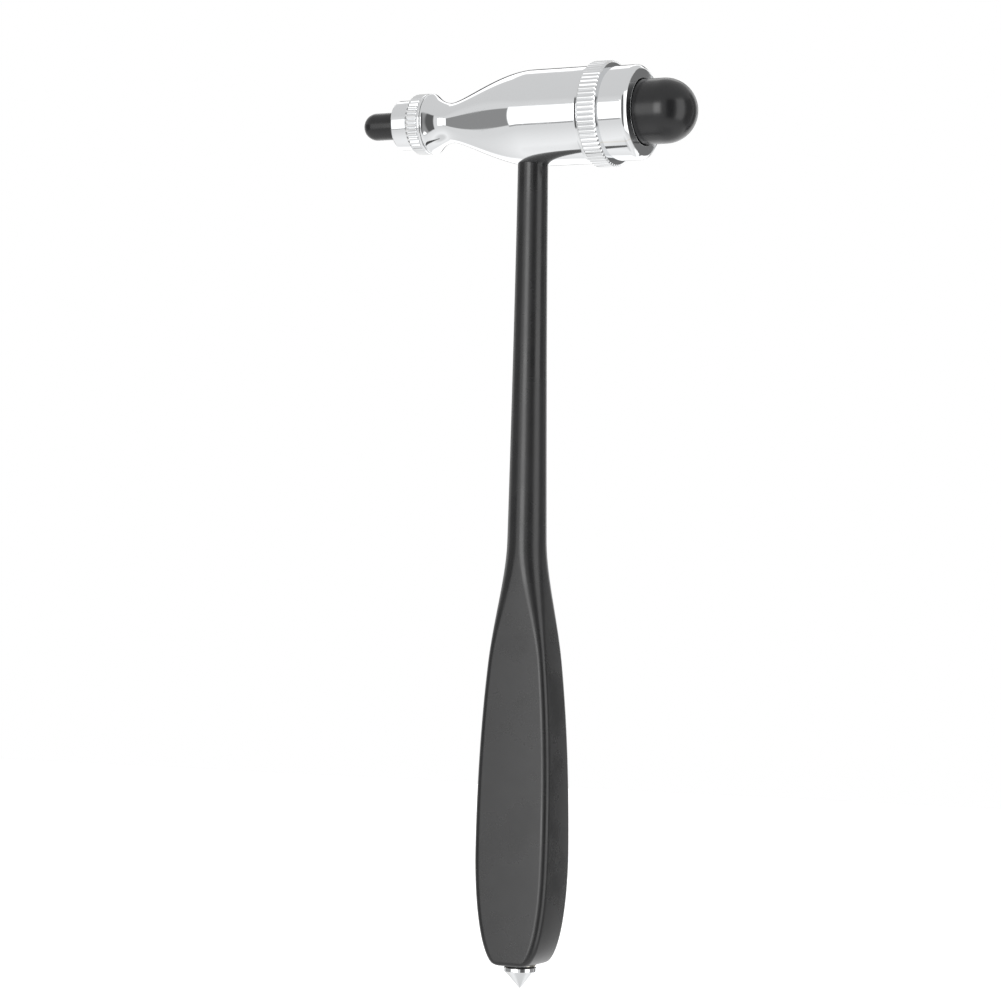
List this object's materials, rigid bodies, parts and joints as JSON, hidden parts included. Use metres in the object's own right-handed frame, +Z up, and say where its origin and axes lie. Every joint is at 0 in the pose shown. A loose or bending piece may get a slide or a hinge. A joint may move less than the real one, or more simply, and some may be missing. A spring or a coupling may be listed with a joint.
{
  "type": "reflex hammer",
  "caption": "Double-ended reflex hammer: chrome head with large and small rubber mallets, unscrewing caps, hidden brush, black paddle grip and pointed tip.",
  "frame": {"origin": "on the handle's axis, in the middle of the grip, 40 mm above the point of the tip", "axes": "+Z up along the handle to the head, +X along the head towards the large mallet, +Y through the grip's back broad face"},
  "size_m": [0.096, 0.0274, 0.24],
  "materials": {
    "chrome": "polished",
    "handle_plastic": "satin",
    "mallet_rubber": "satin",
    "seal_rubber": "matte",
    "rod_steel": "satin",
    "insert_brass": "satin",
    "bristle_nylon": "satin"
  },
  "bodies": {
    "hammer": {"head_barrel": "chrome", "handle_grip": "handle_plastic", "core_rod": "rod_steel", "tip_insert": "insert_brass"},
    "large_cap_washer": {"large_washer": "seal_rubber"},
    "large_cap_disc": {"large_backing_disc": "rod_steel"},
    "large_cap_end": {"large_cap": "chrome", "large_mallet": "mallet_rubber"},
    "small_cap_ring": {"small_seam_ring": "chrome"},
    "small_cap_seal": {"small_seal": "seal_rubber"},
    "small_cap_end": {"small_cap": "chrome", "small_mallet": "mallet_rubber", "brush_ferrule": "insert_brass", "brush_bristles": "bristle_nylon"},
    "tip_spacer": {"tip_washer": "seal_rubber"},
    "tip_end": {"plantar_tip": "chrome"}
  },
  "joints": [
    {"name": "large_cap_pull", "type": "slide", "parent": "hammer", "child": "large_cap_washer", "axis": [1, 0, 0], "range_m": [0, 0.03]},
    {"name": "large_cap_travel", "type": "slide", "parent": "large_cap_washer", "child": "large_cap_disc", "axis": [1, 0, 0], "range_m": [0, 0.0055]},
    {"name": "large_cap_turn", "type": "hinge", "parent": "large_cap_disc", "child": "large_cap_end", "pos_m": [0.0234, 0, 0.1863], "axis": [1, 0, 0], "range_deg": [0, 1980]},
    {"name": "small_cap_pull", "type": "slide", "parent": "hammer", "child": "small_cap_ring", "axis": [-1, 0, 0], "range_m": [0, 0.035]},
    {"name": "small_cap_travel", "type": "slide", "parent": "small_cap_ring", "child": "small_cap_seal", "axis": [-1, 0, 0], "range_m": [0, 0.0025]},
    {"name": "small_cap_turn", "type": "hinge", "parent": "small_cap_seal", "child": "small_cap_end", "pos_m": [-0.032, 0, 0.1863], "axis": [-1, 0, 0], "range_deg": [0, 1800]},
    {"name": "tip_travel", "type": "slide", "parent": "hammer", "child": "tip_spacer", "axis": [0, 0, -1], "range_m": [0, 0.005]},
    {"name": "tip_turn", "type": "hinge", "parent": "tip_spacer", "child": "tip_end", "pos_m": [0, 0, -0.036], "axis": [0, 0, -1], "range_deg": [0, 3600]}
  ],
  "couplings": [
    {"joint": "large_cap_turn", "follows": "large_cap_travel", "rad_per_m": 6283.2},
    {"joint": "small_cap_turn", "follows": "small_cap_travel", "rad_per_m": 12566},
    {"joint": "tip_turn", "follows": "tip_travel", "rad_per_m": 12566}
  ]
}
